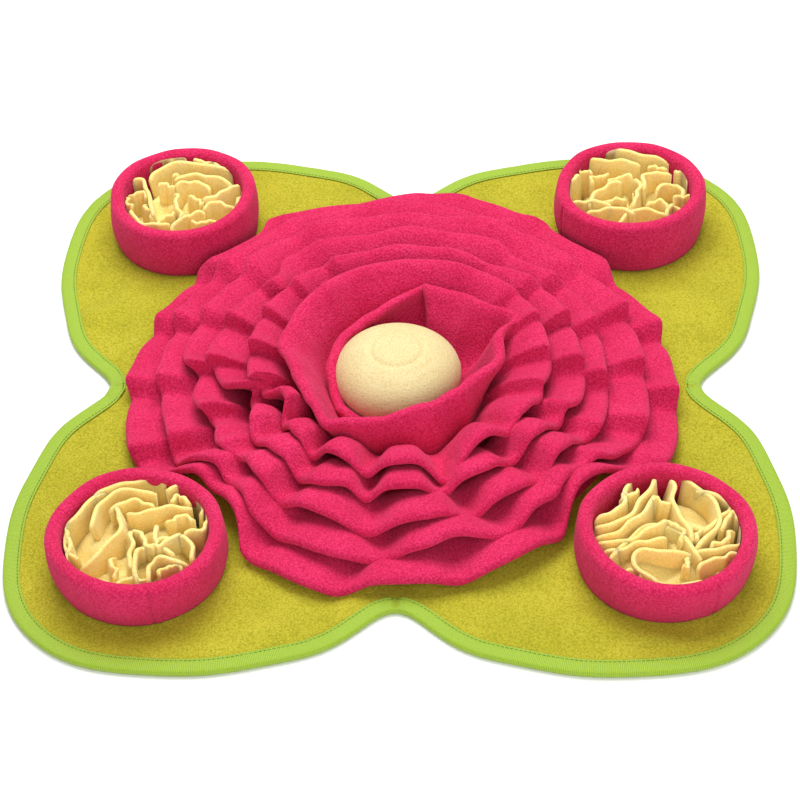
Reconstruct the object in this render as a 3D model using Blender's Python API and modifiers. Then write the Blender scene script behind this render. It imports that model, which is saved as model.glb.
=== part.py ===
"""Snuffle mat: a four-leaf fleece ground bound with ribbed tape, a rose of folded
fleece sewn on in a spiral round a stuffed ball, and four fleece cups of cloth strips.

Metres, +Z up, the underside at z = 0, the leaves' outline centred on the origin.
"""
import functools
import math

import bmesh
import bpy
import numpy as np
from mathutils import Vector

MM = 0.001

# ---- driving sizes, millimetres -------------------------------------------------
CLOTH = 3.0                 # one layer of fleece
TAPE_LEG = 13.0             # tape showing on top of the mat
TAPE = 1.0                  # tape thickness
GAP = 0.3                   # clearance between pieces that touch
RIM_LIFT = TAPE + GAP       # the mat's edge rides on the tape's lower leg
FOOT = CLOTH + GAP          # height at which sewn-on pieces start

SPIRAL_CENTRE = (4.0, -6.0)
STRIP_HALF = 3.0            # half of the folded strip's thickness
RIM_HALF = 3.9              # half thickness where the fold rounds over
LAST_TURN = 2276.0 / 360.0  # turns from the left side to the strip's outer end
TIER_STEP = 11.0            # least spacing of the tiers where a cup holds them back

BALL_CENTRE = (-2.0, -12.0)
BALL_RADIUS, BALL_HALF_HEIGHT = 50.0, 29.8

# outline radius of the leaves (600 across both ways), cosine terms of 4 x angle from a leaf's middle
OUTLINE = (318.0, 60.1, -5.4, 6.3, -2.8, 2.0, -1.2)

# cups: name, middle x, y at the foot, outer radius, height, lean outward at the rim
CUPS = (
    ("rear_left", -196.0, 201.0, 63.0, 48.0, (-1.0, 3.0)),
    ("rear_right", 191.0, 205.0, 63.5, 50.0, (0.0, 2.0)),
    ("front_left", -193.0, -191.0, 66.0, 47.0, (0.0, -5.0)),
    ("front_right", 199.0, -187.0, 66.0, 46.0, (1.0, -5.0)),
)
CUP_WALL = 9.0

# the strip's rim before its folds: degrees turned from the left side, clockwise
# from above, and rim radius
RIM = (
    (-18, 62), (60, 50), (110, 78), (160, 85), (220, 65), (260, 72), (300, 101),
    (360, 95), (450, 101), (540, 113), (630, 133), (720, 126), (810, 130), (900, 138),
    (990, 152), (1080, 151), (1170, 163), (1260, 158), (1350, 179), (1440, 176),
    (1530, 197), (1620, 190), (1710, 200), (1800, 203), (1890, 223), (1980, 216),
    (2070, 223), (2160, 229), (2230, 240), (2276, 241),
)
# folds of the rim: degrees turned at the peak, swing outward, degrees taken to rise
# to it and to fall from it
FOLDS = (
    (305, 8, 8, 12), (359, 7, 12, 17), (616, 10, 17, 10), (644, 6, 17, 12),
    (691, -21, 24, 7), (702, 3, 8, 24), (839, -7, 17, 24), (921, 9, 24, 8),
    (956, -7, 8, 8), (1016, 11, 12, 12), (1059, -28, 19, 8), (1082, 11, 17, 24),
    (1121, -10, 12, 6), (1131, 7, 7, 24), (1208, -8, 12, 24), (1287, 10, 24, 7),
    (1358, 8, 12, 24), (1397, -11, 10, 7), (1414, -13, 8, 12), (1434, -7, 8, 7),
    (1445, 7, 7, 24), (1497, 7, 24, 24), (1527, -5, 8, 24), (1575, -5, 17, 24),
    (1641, 11, 24, 15), (1680, -11, 24, 20), (1684, 6, 8, 8), (1698, -9, 8, 8),
    (1724, 12, 17, 24), (1756, -5, 8, 12), (1771, 6, 8, 12), (1867, 6, 24, 24),
    (1909, -14, 12, 7), (1919, 9, 7, 12), (1948, -8, 17, 24), (2003, 12, 24, 17),
    (2035, -11, 17, 24), (2084, 14, 8, 24), (2112, -14, 8, 17), (2138, 8, 12, 24),
    (2185, -7, 24, 24), (2217, 7, 8, 7), (2260, 9, 8, 8), (2274, -8, 8, 24),
)
# how the strip stands: turns, rim height, root radius, bend toward the rim
STANCE = (
    (-0.1, 47, 62, 0.0), (0.15, 49, 60, 0.0), (0.25, 51, 60, 0.0), (0.4, 57, 62, 0.0),
    (0.5, 60, 62, 0.0), (0.65, 61, 64, 0.1), (0.8, 61, 72, 0.45), (1.0, 61, 76, 0.5),
    (1.25, 59, 80, 0.5), (1.5, 57, 82, 0.5), (1.75, 54, 88, 0.5), (2.3, 50, 97, 0.5), (3.3, 42, 116, 0.5),
    (4.5, 32, 142, 0.5), (5.3, 22, 160, 0.5), (6.0, 15, 174, 0.5), (6.4, 14, 182, 0.5),
)
# section stations of the strip from root to rim: share of height, half thickness
STATIONS = ((0.0, STRIP_HALF), (0.38, STRIP_HALF), (0.68, STRIP_HALF), (0.9, RIM_HALF),
            (1.0, 1.9))
REST = 2.6                  # least clearance of a rim over the tier outside it
OVERHANG = 5.0              # how far a rim stays short of the rim of the tier outside it

# the mat's soft ridges: middle x, y, half length, half width, run angle, height
RIDGES = (
    (112.0, -262.0, 46.0, 13.0, 12.0, 3.0), (150.0, -282.0, 26.0, 9.0, 30.0, 1.5),
    (-95.0, -262.0, 40.0, 14.0, -20.0, 2.5), (-262.0, 88.0, 34.0, 12.0, 30.0, 3.0),
    (266.0, 92.0, 30.0, 12.0, -35.0, 2.5), (-262.0, -92.0, 30.0, 11.0, -30.0, 2.0),
    (268.0, -92.0, 30.0, 12.0, 40.0, 2.5),
)

# ---- materials and scene helpers ------------------------------------------------
COLOURS = {
    "base_mat": (0.47, 0.42, 0.03), "edge_binding": (0.33, 0.50, 0.02),
    "petal_turn": (0.78, 0.02, 0.13), "centre_ball": (0.93, 0.80, 0.42),
    "cup": (0.72, 0.015, 0.11), "filler": (0.95, 0.80, 0.36),
}


def clear_scene():
    for obj in list(bpy.data.objects):
        bpy.data.objects.remove(obj, do_unlink=True)


def make_collection(name, hidden=False):
    col = bpy.data.collections.new(name)
    bpy.context.scene.collection.children.link(col)
    col.hide_render = hidden
    return col


def fabric(name, colour):
    mat = bpy.data.materials.new(name)
    mat.use_nodes = True
    shader = mat.node_tree.nodes["Principled BSDF"]
    shader.inputs["Base Color"].default_value = (*colour, 1.0)
    shader.inputs["Roughness"].default_value = 0.95
    mat.diffuse_color = (*colour, 1.0)
    return mat


def add_node(col, name, verts, faces, colour, smooth=True):
    """One closed body from points in millimetres, its faces turned outward."""
    mesh = bpy.data.meshes.new(name)
    mesh.from_pydata([tuple(c * MM for c in v) for v in verts], [], faces)
    bm = bmesh.new()
    bm.from_mesh(mesh)
    bmesh.ops.recalc_face_normals(bm, faces=bm.faces)
    for face in bm.faces:
        face.smooth = smooth
    bm.to_mesh(mesh)
    bm.free()
    obj = bpy.data.objects.new(name, mesh)
    obj.data.materials.append(fabric(name + "_cloth", COLOURS[colour]))
    col.objects.link(obj)
    return obj


def loft(sections, closed):
    """Quads between equal closed sections; ends capped unless the loft is a ring."""
    n = len(sections[0])
    verts = [v for section in sections for v in section]
    faces = []
    last = len(sections) if closed else len(sections) - 1
    for i in range(last):
        a, b = i * n, (i + 1) % len(sections) * n
        faces += [(a + j, a + (j + 1) % n, b + (j + 1) % n, b + j) for j in range(n)]
    if not closed:
        faces.append(tuple(range(n)))
        faces.append(tuple(range((len(sections) - 1) * n, len(sections) * n)))
    return verts, faces


# ---- the ground and its binding -------------------------------------------------
def outline_radius(angle):
    """Distance from the middle to the bound edge, from the leaves' cosine terms."""
    phi = angle - math.pi / 4
    return sum(c * math.cos(4 * k * phi) for k, c in enumerate(OUTLINE))


def outline_offset(angle, inset):
    """Point of the outline moved inward square to the edge by inset."""
    step = 1e-3
    r = outline_radius(angle)
    slope = (outline_radius(angle + step) - outline_radius(angle - step)) / (2 * step)
    c, s = math.cos(angle), math.sin(angle)
    tx, ty = slope * c - r * s, slope * s + r * c
    size = math.hypot(tx, ty)
    return r * c - inset * ty / size, r * s + inset * tx / size


EDGE_COUNT = 88
EDGE_ANGLES = [2 * math.pi * i / EDGE_COUNT for i in range(EDGE_COUNT)]


def ridge_height(x, y):
    """Sum of the soft ridges: a rounded bump along and across each one's run."""
    total = 0.0
    for cx, cy, half_l, half_w, run, height in RIDGES:
        a = math.radians(run)
        u = ((x - cx) * math.cos(a) + (y - cy) * math.sin(a)) / half_l
        v = ((y - cy) * math.cos(a) - (x - cx) * math.sin(a)) / half_w
        total += height * math.exp(-u * u - v * v)
    return total


def build_mat(col):
    edge = TAPE + GAP
    rings = []
    for share in (0.50, 0.66, 0.80):
        ring = []
        for a in EDGE_ANGLES:
            r = share * outline_radius(a)
            x, y = r * math.cos(a), r * math.sin(a)
            ring.append((x, y, ridge_height(x, y) if share > 0.6 else 0.0))
        rings.append(ring)
    ring = []
    for a in EDGE_ANGLES:
        x, y = outline_offset(a, TAPE_LEG + TAPE + 9.0)
        ring.append((x, y, ridge_height(x, y)))
    rings.append(ring)
    rings.append([(*outline_offset(a, TAPE_LEG + TAPE + 2.0), RIM_LIFT)
                  for a in EDGE_ANGLES])
    rings.append([(*outline_offset(a, edge), RIM_LIFT) for a in EDGE_ANGLES])
    n = EDGE_COUNT
    verts = [p for ring in rings for p in ring]
    faces = [tuple(range(n))]
    for k in range(len(rings) - 1):
        for j in range(n):
            a, b = k * n + j, k * n + (j + 1) % n
            faces.append((a, a + n, b + n, b))
    mesh = bpy.data.meshes.new("base_mat")
    mesh.from_pydata([tuple(c * MM for c in v) for v in verts], [], faces)
    obj = bpy.data.objects.new("base_mat", mesh)
    obj.data.materials.append(fabric("base_mat_cloth", COLOURS["base_mat"]))
    col.objects.link(obj)
    layer = obj.modifiers.new("cloth", "SOLIDIFY")
    layer.thickness = CLOTH * MM
    layer.offset = 1.0
    return obj


def build_binding(col):
    """Tape folded over the edge: a U lying on its side, swept round the leaves."""
    low, high = RIM_LIFT - GAP, RIM_LIFT + CLOTH + GAP
    section = (
        (0.0, 0.6), (0.5, 0.0), (TAPE_LEG, 0.0), (TAPE_LEG, low),
        (TAPE, low), (TAPE, high), (TAPE_LEG, high), (TAPE_LEG, high + TAPE),
        (0.6, high + TAPE), (0.0, high + TAPE - 0.6),
    )
    sections = []
    for a in EDGE_ANGLES:
        sections.append([(*outline_offset(a, inset), z) for inset, z in section])
    verts, faces = loft(sections, True)
    return add_node(col, "edge_binding", verts, faces, "edge_binding")


# ---- the spiral of folded fleece ------------------------------------------------
def table(rows, column):
    return np.array([row[column] for row in rows], float)


def cup_limit(angle):
    """Reach along a ray from the spiral's middle before it meets a cup's wall."""
    dx, dy = math.cos(angle), math.sin(angle)
    reach = 400.0
    for _, cx, cy, radius, _, _ in CUPS:
        px, py = cx - SPIRAL_CENTRE[0], cy - SPIRAL_CENTRE[1]
        along = px * dx + py * dy
        off2 = px * px + py * py - along * along
        clear = radius + 6.5
        if along > 0 and off2 < clear * clear:
            reach = min(reach, along - math.sqrt(clear * clear - off2))
    return reach


def fold_swing(turned):
    """Sum of the folds: each rises to its peak and falls again, rounded at both ends."""
    total = 0.0
    for peak, depth, rise, fall in FOLDS:
        away = turned - peak
        share = max(0.0, 1 - (-away / rise if away < 0 else away / fall))
        total += depth * share * share * (3 - 2 * share)
    return total


def bent(share, bend):
    """Shares of the way out and up, and their slopes, along the bent section."""
    swing = 2 * bend * share * (1 - share)
    slope = 2 * bend * (1 - 2 * share)
    return share - swing, share + swing, 1 - slope, 1 + slope


def share_at(away, bend):
    """Share of the section at which it has gone the part `away` of its way out."""
    if bend < 0.01:
        return away
    line = 1 - 2 * bend
    return (math.sqrt(line * line + 8 * bend * away) - line) / (4 * bend)


@functools.lru_cache(maxsize=None)
def strip_rim(turned):
    """Rim radius, rim height, root radius and bend of the strip after `turned` degrees.

    Where a fold swings inward the cloth rides up, where it swings outward it sinks.
    Beside a cup the tiers are held back and stand taller, and every rim clears the
    tier outside it.
    """
    turns = turned / 360.0
    swing = fold_swing(turned)
    r = float(np.interp(turned, table(RIM, 0), table(RIM, 1))) + swing
    z, root, bend = (float(np.interp(turns, table(STANCE, 0), table(STANCE, k)))
                     for k in (1, 2, 3))
    side = math.sin(math.pi - math.radians(turned))
    lift = -swing * (0.6 - 0.9 * max(side, 0.0) ** 2) * 2 * bend
    lift = max(min(lift, 4.0), -4.0)
    r -= 1.05 * side * lift
    outer_tiers = max(0, math.floor(LAST_TURN - turns))
    limit = cup_limit(math.pi - math.radians(turned)) - TIER_STEP * outer_tiers
    over = max(0.0, r - limit)
    r, z = r - over, z + lift + 0.75 * over
    if turns + 1 <= LAST_TURN:
        next_r, next_z, next_root, next_bend = strip_rim(turned + 360.0)
        r = min(r, next_r - OVERHANG)
        away = (r - next_root) / (next_r - next_root)
        if away > 0:
            share = share_at(away, next_bend)
            shelf = FOOT + (next_z - FOOT) * bent(share, next_bend)[1]
            z = max(z, shelf + STRIP_HALF + RIM_HALF + REST)
    return r, z, root, bend


def strip_section(turned):
    """Closed section of the folded strip in the upright plane at `turned` degrees."""
    rim_r, rim_z, root_r, bend = strip_rim(turned)
    angle = math.pi - math.radians(turned)
    dr, dz = rim_r - root_r, rim_z - FOOT
    inner, outer = [], []
    for share, half in STATIONS:
        out, up, out_slope, up_slope = bent(share, bend)
        r, z = root_r + dr * out, FOOT + dz * up
        size = math.hypot(dr * out_slope, dz * up_slope)
        nr, nz = -dz * up_slope / size, dr * out_slope / size
        if share == 0.0:
            nr, nz = -1.0, 0.0
        inner.append((r + nr * half, z + nz * half))
        outer.append((r - nr * half, z - nz * half))
    cx, cy = SPIRAL_CENTRE
    return [(cx + r * math.cos(angle), cy + r * math.sin(angle), max(z, FOOT))
            for r, z in inner + outer[::-1]]


def spiral_stops(start, end):
    """Degrees at which the strip has a section: table rows, fold edges and between."""
    marks = sorted({float(row[0]) for row in RIM}
                   | {float(f[0] + d) for f in FOLDS for d in (-f[2], 0, f[3])})
    kept = [start]
    for mark in marks:
        if mark - kept[-1] >= 3.0 and end - mark >= 3.0:
            kept.append(mark)
    kept.append(end)
    stops = [kept[0]]
    for a, b in zip(kept[:-1], kept[1:]):
        parts = max(1, math.ceil((b - a) / 6.5))
        stops += [a + (b - a) * (i + 1) / parts for i in range(parts)]
    return stops


def build_spiral(col):
    """The strip, one solid for each turn, the turns end to end with a hair between."""
    first, last = float(RIM[0][0]), float(RIM[-1][0])
    turn = 0
    while first + 360.0 * turn < last:
        start = first + 360.0 * turn
        end = min(start + 360.0, last)
        if end < last:
            end -= math.degrees(1.1 * GAP / strip_rim(end)[2])
        sections = [strip_section(t) for t in spiral_stops(start, end)]
        verts, faces = loft(sections, False)
        turn += 1
        add_node(col, "petal_turn_%d" % turn, verts, faces, "petal_turn")


# ---- ball, cups and their strips ------------------------------------------------
def build_ball(col):
    bm = bmesh.new()
    bmesh.ops.create_uvsphere(bm, u_segments=22, v_segments=11, radius=1.0)
    foot = FOOT
    mid = foot + BALL_HALF_HEIGHT - 1.5
    for v in bm.verts:
        x, y, z = v.co
        full = 1.0 + 0.05 * (1 - z * z)
        v.co = Vector(((BALL_CENTRE[0] + BALL_RADIUS * full / 1.05 * x) * MM,
                       (BALL_CENTRE[1] + BALL_RADIUS * full / 1.05 * y) * MM,
                       max(mid + BALL_HALF_HEIGHT * z, foot) * MM))
    bmesh.ops.remove_doubles(bm, verts=bm.verts, dist=0.0001)
    mesh = bpy.data.meshes.new("centre_ball")
    bm.to_mesh(mesh)
    bm.free()
    mesh.shade_smooth()
    obj = bpy.data.objects.new("centre_ball", mesh)
    obj.data.materials.append(fabric("centre_ball_cloth", COLOURS["centre_ball"]))
    col.objects.link(obj)
    return obj


def build_cup(col, cup, index):
    """Ring of folded fleece: bulged outer face, rounded rim, upright inner face."""
    name, cx, cy, radius, height, lean = cup
    foot = FOOT
    profile = (
        (radius - 1.5, foot), (radius, 14.0), (radius, height - 10.0),
        (radius - 2.0, height - 2.5), (radius - CUP_WALL / 2, height),
        (radius - CUP_WALL + 0.6, height - 2.5), (radius - CUP_WALL, height - 12.0),
        (radius - CUP_WALL + 1.0, foot),
    )
    sections = []
    count = 30
    for i in range(count):
        a = 2 * math.pi * i / count
        sag = 1.0 + 0.012 * math.sin(2 * a + index) + 0.008 * math.sin(3 * a + 2 * index)
        tall = 1.0 + 0.025 * math.sin(a + 1.7 * index) + 0.02 * math.sin(3 * a + index)
        ring = []
        for r, z in profile:
            up = (z - foot) / (height - foot)
            ring.append((cx + lean[0] * up + r * (1 + (sag - 1) * up) * math.cos(a),
                         cy + lean[1] * up + r * (1 + (sag - 1) * up) * math.sin(a),
                         foot + (z - foot) * (1 + (tall - 1) * up)))
        sections.append(ring)
    verts, faces = loft(sections, True)
    return add_node(col, "cup_" + name, verts, faces, "cup")


# strips in each cup: start x, y, heading degrees, curl degrees, length, top height
STRIPS = {
    "rear_left": ((-30, -18, 70, 60, 52, 42), (-18, -34, 20, 90, 50, 38),
                  (8, -36, 60, -70, 50, 40), (30, -16, 100, 80, 48, 41),
                  (-34, 14, 20, -60, 46, 43), (2, 6, 30, 120, 44, 42)),
    "rear_right": ((-32, -14, 80, -50, 50, 44), (-20, -32, 40, 60, 50, 40),
                   (6, -36, 70, 60, 52, 41), (30, -20, 100, 60, 50, 42),
                   (-26, 22, 10, -50, 48, 45), (10, 4, 60, -80, 42, 44)),
    "front_left": ((-34, -10, 90, -60, 50, 40), (-24, -32, 30, 80, 54, 37),
                   (10, -38, 60, 70, 50, 39), (34, -12, 110, -60, 48, 41),
                   (-28, 26, 0, -60, 50, 41), (0, 2, 40, 150, 46, 40)),
    "front_right": ((-36, -6, 70, 40, 48, 40), (-26, -32, 50, -60, 52, 37),
                    (6, -38, 80, -50, 50, 38), (34, -18, 100, 50, 52, 40),
                    (-22, 28, 0, -50, 46, 42), (4, 0, 90, -90, 44, 40)),
}


def build_filler(col, cup, index):
    """Disc of cloth with bent strips standing on edge, their feet sunk in the disc."""
    name, cx, cy, radius, height, lean = cup
    inside = radius - CUP_WALL - 3.5
    low, high = CLOTH + GAP, CLOTH + GAP + 3.5
    bm = bmesh.new()
    bmesh.ops.create_cone(bm, cap_ends=True, segments=28, radius1=inside * MM,
                          radius2=inside * MM, depth=(high - low) * MM)
    for v in bm.verts:
        v.co += Vector((cx * MM, cy * MM, (low + high) / 2 * MM))
    mesh = bpy.data.meshes.new("filler_" + name)
    bm.to_mesh(mesh)
    bm.free()
    obj = bpy.data.objects.new("filler_" + name, mesh)
    obj.data.materials.append(fabric("filler_" + name + "_cloth", COLOURS["filler"]))
    col.objects.link(obj)
    pieces = make_collection("strips_" + name, hidden=True)
    for k, (sx, sy, heading, curl, length, top) in enumerate(STRIPS[name]):
        steps, sections = 6, []
        x, y = float(sx), float(sy)
        for i in range(steps + 1):
            a = math.radians(heading + curl * (i / steps - 0.5))
            nx, ny = -math.sin(a) * 1.5, math.cos(a) * 1.5
            z = top - 5.5 + 2.5 * math.cos(2.2 * i + k)
            lx = cx + lean[0] * 0.7 + x
            ly = cy + lean[1] * 0.7 + y
            sections.append([(lx - nx, ly - ny, high - 1.0), (lx + nx, ly + ny, high - 1.0),
                             (lx + nx * 1.2, ly + ny * 1.2, z), (lx - nx * 1.2, ly - ny * 1.2, z)])
            x += length / steps * math.cos(a)
            y += length / steps * math.sin(a)
        verts, faces = loft(sections, False)
        strip = add_node(pieces, "strip_%s_%d" % (name, k), verts, faces, "filler")
        strip.display_type = "WIRE"
        strip.hide_render = True
        union = obj.modifiers.new("strip_%d" % k, "BOOLEAN")
        union.operation = "UNION"
        union.solver = "EXACT"
        union.object = strip
    return obj


def main():
    clear_scene()
    col = make_collection("snuffle_mat")
    build_mat(col)
    build_binding(col)
    build_spiral(col)
    build_ball(col)
    for index, cup in enumerate(CUPS):
        build_cup(col, cup, index)
        build_filler(col, cup, index)


main()
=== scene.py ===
"""Snuffle mat: four-leaf fleece ground, ribbed tape binding, a rose of folded fleece
wound round a stuffed ball, and four fleece cups full of cloth strips."""

import math

import bpy
import numpy as np
from mathutils import Matrix


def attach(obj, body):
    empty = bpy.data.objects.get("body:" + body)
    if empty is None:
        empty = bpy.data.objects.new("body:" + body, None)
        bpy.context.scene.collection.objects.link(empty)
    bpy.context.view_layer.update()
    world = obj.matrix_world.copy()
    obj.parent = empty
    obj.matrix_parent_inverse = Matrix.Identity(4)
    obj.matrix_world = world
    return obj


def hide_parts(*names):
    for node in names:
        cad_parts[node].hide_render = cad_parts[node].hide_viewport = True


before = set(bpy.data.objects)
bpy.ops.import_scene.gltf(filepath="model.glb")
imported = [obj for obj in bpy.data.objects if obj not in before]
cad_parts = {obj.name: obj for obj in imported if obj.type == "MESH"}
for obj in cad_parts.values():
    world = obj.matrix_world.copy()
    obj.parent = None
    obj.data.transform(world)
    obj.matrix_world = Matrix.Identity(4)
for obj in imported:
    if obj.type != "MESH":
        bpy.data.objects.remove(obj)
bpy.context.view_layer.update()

# ---- 1. the ground --------------------------------------------------------------
# One layer of brushed fleece cut to four leaves, olive lime, about 3 mm thick. It
# lies flat and carries everything else; where the leaves were sewn on and handled
# it keeps a few soft, low ridges.
MM = 0.001
LEAF_TERMS = (318.0, 60.1, -5.4, 6.3, -2.8, 2.0, -1.2)  # cosine terms, mm
GROUND_THICK = 3.0
GROUND_INSET, GROUND_EDGE_LIFT = 1.3, 1.3
HEM_WIDTH, HEM_BLEND = 15.0, 9.0        # flat margin inside the tape, and where ridges start
RIDGE_GAIN, WANDER = 1.6, 0.9
# soft ridges: middle x, y, half length, half width, run angle, height (mm, degrees)
GROUND_RIDGES = (
    (112, -262, 46, 13, 12, 3.0), (150, -282, 26, 9, 30, 1.5), (-95, -262, 40, 14, -20, 2.5),
    (-262, 88, 34, 12, 30, 3.0), (266, 92, 30, 12, -35, 2.5), (-262, -92, 30, 11, -30, 2.0),
    (268, -92, 30, 12, 40, 2.5), (86, -238, 30, 7, 8, 1.1), (196, -268, 26, 8, -14, 1.3),
    (-150, -276, 30, 8, 6, 1.2), (-238, 120, 22, 7, 62, 1.4), (-276, 130, 20, 7, 40, 1.2),
    (258, 130, 20, 7, -60, 1.2), (110, 268, 26, 8, -20, 1.4), (-110, 268, 26, 8, 20, 1.4),
    (250, -120, 24, 7, 70, 1.2), (-268, -130, 24, 8, -66, 1.3), (140, -246, 20, 6, -30, 0.9),
)
GROUND_OLIVE = (0.440, 0.400, 0.022)
GROUND_SHADE = (0.320, 0.300, 0.013)
GROUND_LIGHT = (0.570, 0.510, 0.060)


def leaf_radius(angle):
    """Distance to the bound edge in mm: the sum of the terms times the cosine of
    4k times the angle measured from a leaf's middle."""
    phi = np.asarray(angle) - math.pi / 4
    return sum(c * np.cos(4 * k * phi) for k, c in enumerate(LEAF_TERMS))


def leaf_edge(angle, inset):
    """Points of the edge moved inward square to it by inset, in mm: the radius along
    the ray, plus the inset times the unit normal of the outline."""
    angle = np.asarray(angle, float)
    step = 1e-3
    r = leaf_radius(angle)
    slope = (leaf_radius(angle + step) - leaf_radius(angle - step)) / (2 * step)
    c, s = np.cos(angle), np.sin(angle)
    tx, ty = slope * c - r * s, slope * s + r * c
    size = np.hypot(tx, ty)
    return r * c - inset * ty / size, r * s + inset * tx / size


def ridge_relief(x, y, ridges):
    """Sum of bumps: height times a bell along and a bell across each ridge's run."""
    total = np.zeros_like(x)
    for cx, cy, half_l, half_w, run, height in ridges:
        a = math.radians(run)
        u = ((x - cx) * math.cos(a) + (y - cy) * math.sin(a)) / half_l
        v = ((y - cy) * math.cos(a) - (x - cx) * math.sin(a)) / half_w
        total += height * np.exp(-u * u - v * v)
    return total


def cloth_object(name, points, faces, uv=None):
    """Object of faces over points in mm, shaded smooth, with UV values if given."""
    mesh = bpy.data.meshes.new(name)
    mesh.from_pydata((points.reshape(-1, 3) * MM).tolist(), [], faces)
    if uv is not None:
        mesh.uv_layers.new(name="cloth").data.foreach_set("uv", uv.astype(np.float32))
    mesh.shade_smooth()
    mesh.update()
    obj = bpy.data.objects.new(name, mesh)
    bpy.context.scene.collection.objects.link(obj)
    return obj


def sheet_mesh(name, points, around=False, ring=False, cap=False, lid=False, ends=False):
    """Object of quads over a grid of points in mm (rows x columns x 3). `around` joins
    the last column to the first and `ring` the last row to the first; `cap` and `lid`
    close the first and last rows, `ends` the first and last columns. Two UV values
    follow columns and rows."""
    rows, cols = points.shape[:2]
    i, j = np.meshgrid(np.arange(rows if ring else rows - 1),
                       np.arange(cols if around else cols - 1), indexing="ij")
    k, n = (j + 1) % cols, (i + 1) % rows
    quads = np.stack([i * cols + j, i * cols + k, n * cols + k, n * cols + j],
                     axis=-1).reshape(-1, 4)
    faces = quads.tolist()
    u = np.stack([j, j + 1, j + 1, j], axis=-1).reshape(-1) / cols
    v = np.stack([i, i, i + 1, i + 1], axis=-1).reshape(-1) / rows
    if cap:
        faces.append(list(range(cols))[::-1])
    if lid:
        faces.append(list(range((rows - 1) * cols, rows * cols)))
    if ends:
        faces.append(list(range(0, rows * cols, cols)))
        faces.append(list(range(cols - 1, rows * cols, cols))[::-1])
    more = cols * (int(cap) + int(lid)) + 2 * rows * int(ends)
    uv = np.concatenate([np.stack([u, v], axis=-1).reshape(-1), np.zeros(2 * more)])
    return cloth_object(name, points, faces, uv)


def thicken(obj, millimetres, offset=0.0):
    """Give an open sheet its cloth thickness."""
    layer = obj.modifiers.new("thickness", "SOLIDIFY")
    layer.thickness = millimetres * MM
    layer.offset = offset
    layer.use_even_offset = False
    return obj


def fleece(name, shade, base, light, pill=580.0, relief=0.0009, glow=0.25, through=0.0):
    """Brushed fleece: clumps of pile as cells with noise between, as colour and bump,
    and a soft sheen from the loose fibres. `through` is the share of light that
    spreads inside the cloth."""
    mat = bpy.data.materials.new(name)
    mat.use_nodes = True
    tree = mat.node_tree
    add, link = tree.nodes.new, tree.links.new
    shader = tree.nodes["Principled BSDF"]
    shader.inputs["Roughness"].default_value = 0.92
    shader.inputs["Specular IOR Level"].default_value = 0.2
    shader.inputs["Sheen Weight"].default_value = glow
    shader.inputs["Sheen Roughness"].default_value = 0.45
    shader.inputs["Sheen Tint"].default_value = (*[min(1.0, c * 1.2 + 0.15) for c in light], 1)
    shader.inputs["Subsurface Weight"].default_value = through
    shader.inputs["Subsurface Radius"].default_value = (1.0, 0.75, 0.35)
    shader.inputs["Subsurface Scale"].default_value = 0.006
    place = add("ShaderNodeTexCoord")
    clump = add("ShaderNodeTexVoronoi")
    clump.feature = "SMOOTH_F1"
    clump.inputs["Scale"].default_value = pill
    clump.inputs["Smoothness"].default_value = 0.35
    curl = add("ShaderNodeTexNoise")
    curl.inputs["Scale"].default_value = pill * 1.3
    curl.inputs["Detail"].default_value = 3.0
    curl.inputs["Roughness"].default_value = 0.65
    drift = add("ShaderNodeTexNoise")
    drift.inputs["Scale"].default_value = 28.0
    drift.inputs["Detail"].default_value = 4.0
    for node in (clump, curl, drift):
        link(place.outputs["Object"], node.inputs["Vector"])
    nap = add("ShaderNodeMath")
    nap.operation = "SUBTRACT"
    link(curl.outputs["Fac"], nap.inputs[0])
    half = add("ShaderNodeMath")
    half.operation = "MULTIPLY"
    half.inputs[1].default_value = 0.55
    link(clump.outputs["Distance"], half.inputs[0])
    link(half.outputs[0], nap.inputs[1])
    tone = add("ShaderNodeMath")
    tone.operation = "MULTIPLY_ADD"
    tone.inputs[1].default_value = 0.40
    link(drift.outputs["Fac"], tone.inputs[0])
    link(nap.outputs[0], tone.inputs[2])
    ramp = add("ShaderNodeValToRGB")
    ramp.color_ramp.elements[0].position = 0.22
    ramp.color_ramp.elements[0].color = (*shade, 1)
    ramp.color_ramp.elements[1].position = 0.80
    ramp.color_ramp.elements[1].color = (*light, 1)
    middle = ramp.color_ramp.elements.new(0.48)
    middle.color = (*base, 1)
    link(tone.outputs[0], ramp.inputs["Fac"])
    link(ramp.outputs["Color"], shader.inputs["Base Color"])
    bump = add("ShaderNodeBump")
    bump.inputs["Strength"].default_value = 1.0
    bump.inputs["Distance"].default_value = relief
    link(nap.outputs[0], bump.inputs["Height"])
    link(bump.outputs["Normal"], shader.inputs["Normal"])
    return mat


# rays from the middle to the edge; ridges fade out toward the middle and at the hem
angle = np.linspace(0, 2 * math.pi, 420, endpoint=False)
edge_x, edge_y = leaf_edge(angle, GROUND_INSET)
share = np.concatenate([np.linspace(0.01, 0.94, 46), [0.955, 0.97, 0.985, 1.0]])
x = share[:, None] * edge_x[None, :]
y = share[:, None] * edge_y[None, :]
inset = (1 - share[:, None]) * np.hypot(edge_x, edge_y)[None, :]
fade = np.clip((share[:, None] - 0.55) / 0.1, 0, 1)
hem = np.clip((inset - HEM_WIDTH) / HEM_BLEND, 0, 1)
hem = hem * hem * (3 - 2 * hem)
wander = 0.5 + 0.5 * np.sin(x / 31.0 + 1.3) * np.sin(y / 27.0 - x / 90.0)
z = (RIDGE_GAIN * ridge_relief(x, y, GROUND_RIDGES) + WANDER * wander) * fade * hem
z = z + GROUND_EDGE_LIFT * (1 - hem) + GROUND_THICK / 2
ground = sheet_mesh("ground_fleece", np.stack([x, y, z], axis=-1), around=True, cap=True)
ground.data.materials.append(fleece("olive_fleece", GROUND_SHADE, GROUND_OLIVE, GROUND_LIGHT))
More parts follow.
